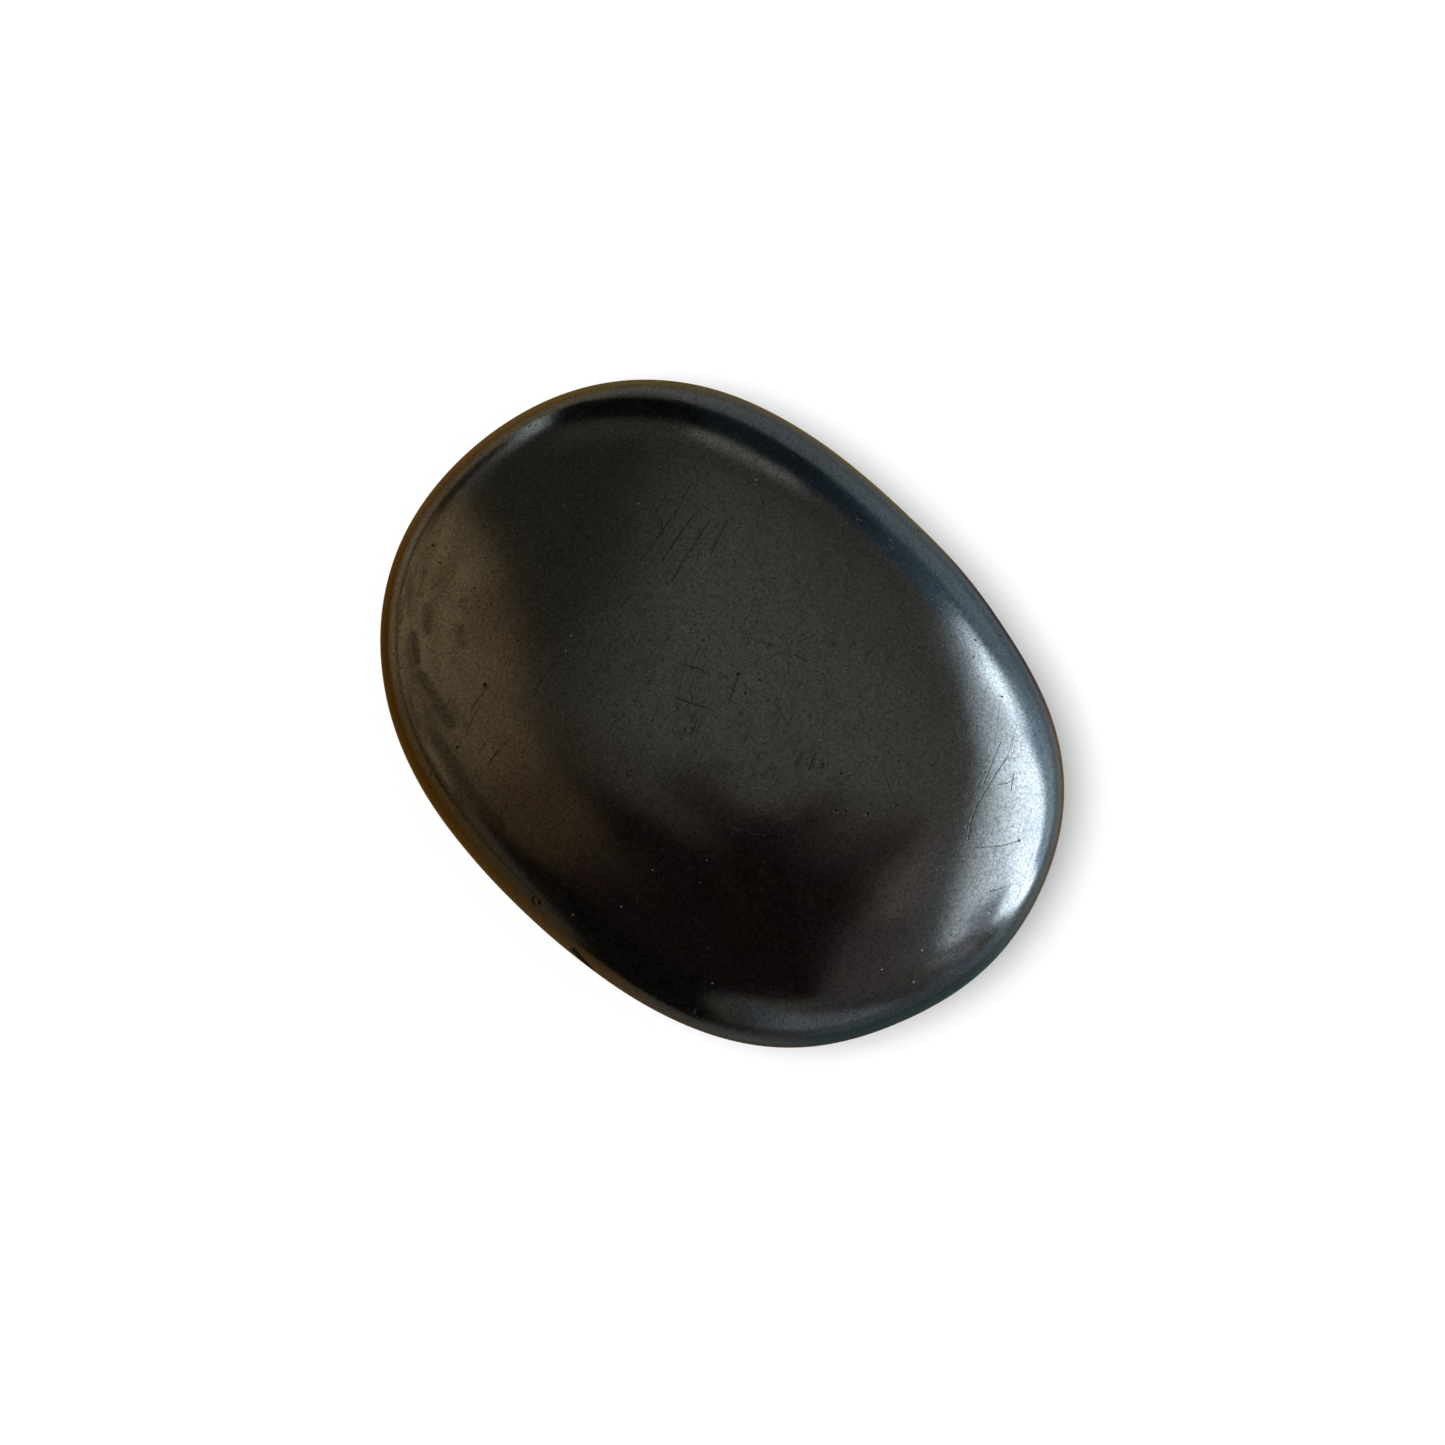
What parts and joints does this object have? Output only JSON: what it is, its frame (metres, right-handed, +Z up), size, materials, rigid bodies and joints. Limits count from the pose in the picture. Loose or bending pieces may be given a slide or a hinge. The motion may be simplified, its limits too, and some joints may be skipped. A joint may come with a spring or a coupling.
{
  "type": "massage stone",
  "caption": "Flattened oval basalt pebble, tumbled and polished smooth, used warm as a hand-held or laid-on massage stone.",
  "frame": {"origin": "centre of the oval outline's box, on the plane the stone rests on", "axes": "+X along the long axis towards the fuller end, +Y across the stone, +Z up out of the crown"},
  "size_m": [0.08, 0.0603, 0.0206],
  "materials": {
    "basalt": "satin"
  },
  "bodies": {
    "root": {"basalt_stone": "basalt"}
  },
  "joints": []
}
